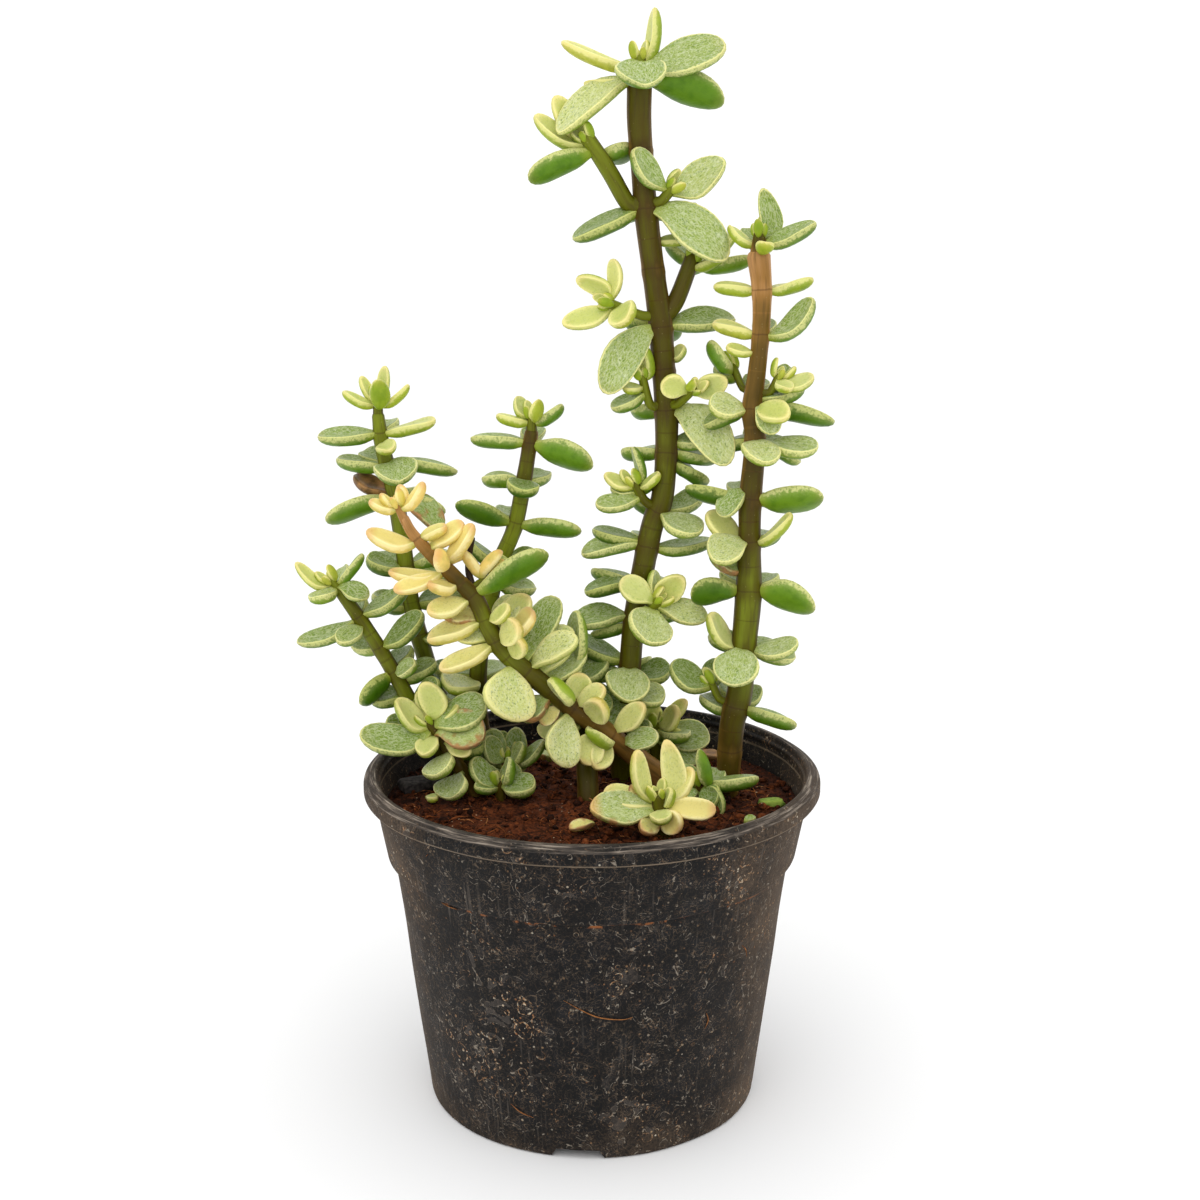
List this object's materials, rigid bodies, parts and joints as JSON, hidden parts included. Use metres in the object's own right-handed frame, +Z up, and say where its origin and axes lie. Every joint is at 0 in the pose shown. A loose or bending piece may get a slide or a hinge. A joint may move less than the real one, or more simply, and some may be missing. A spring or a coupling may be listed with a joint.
{
  "type": "potted elephant bush",
  "caption": "Variegated elephant bush: upright succulent stems with small oval leaves, rooted in coir mix in a tapered black plastic nursery pot.",
  "frame": {"origin": "middle of the bounding box's underside, on the surface that the pot stands on", "axes": "+Z up along the plant's height, -Y towards the front, +X towards the right stem"},
  "size_m": [0.1494, 0.13, 0.3023],
  "materials": {
    "pot_plastic": "moulded black polypropylene, scuffed and dusty",
    "coir_mix": "loose dark red-brown coir crumbs and fibres",
    "bark": "rough grey-brown bark",
    "stem_skin": "smooth olive green skin with brown ring scars",
    "leaf_skin": "fleshy pale green leaf with cream rim and fine mottling"
  },
  "bodies": {
    "root": {"back_left_leaves_1": "leaf_skin", "back_left_leaves_2": "leaf_skin", "back_left_leaves_3": "leaf_skin", "back_left_leaves_4": "leaf_skin", "back_left_stem": "stem_skin", "back_left_top_leaves": "leaf_skin", "bark_chip": "bark", "centre_shoot": "leaf_skin", "fallen_leaf": "leaf_skin", "front_left_shoot": "leaf_skin", "front_shoot": "leaf_skin", "leaning_leaves_1": "leaf_skin", "leaning_leaves_2": "leaf_skin", "leaning_stem": "stem_skin", "leaning_top_leaves": "leaf_skin", "low_leaves": "leaf_skin", "low_stem": "stem_skin", "middle_leaves_1": "leaf_skin", "middle_leaves_2": "leaf_skin", "middle_leaves_3": "leaf_skin", "middle_leaves_4": "leaf_skin", "middle_leaves_5": "leaf_skin", "middle_stem": "stem_skin", "middle_top_leaves": "leaf_skin", "pot": "pot_plastic", "potting_mix": "coir_mix", "right_leaves_1": "leaf_skin", "right_leaves_2": "leaf_skin", "right_leaves_3": "leaf_skin", "right_leaves_4": "leaf_skin", "right_leaves_5": "leaf_skin", "right_leaves_6": "leaf_skin", "right_leaves_7": "leaf_skin", "right_leaves_8": "leaf_skin", "right_leaves_9": "leaf_skin", "right_low_shoot": "leaf_skin", "right_stem": "stem_skin", "right_top_leaves": "leaf_skin", "small_shoot_front": "leaf_skin", "small_shoot_left": "leaf_skin", "tall_leaves_1": "leaf_skin", "tall_leaves_2": "leaf_skin", "tall_leaves_3": "leaf_skin", "tall_leaves_4": "leaf_skin", "tall_leaves_5": "leaf_skin", "tall_leaves_6": "leaf_skin", "tall_leaves_7": "leaf_skin", "tall_leaves_8": "leaf_skin", "tall_shoot_left": "leaf_skin", "tall_shoot_right": "leaf_skin", "tall_stem": "stem_skin", "tall_top_leaves": "leaf_skin", "yellow_leaves_1": "leaf_skin", "yellow_leaves_2": "leaf_skin", "yellow_leaves_3": "leaf_skin", "yellow_leaves_4": "leaf_skin", "yellow_leaves_5": "leaf_skin", "yellow_stem": "stem_skin", "yellow_top_leaves": "leaf_skin"}
  },
  "joints": []
}
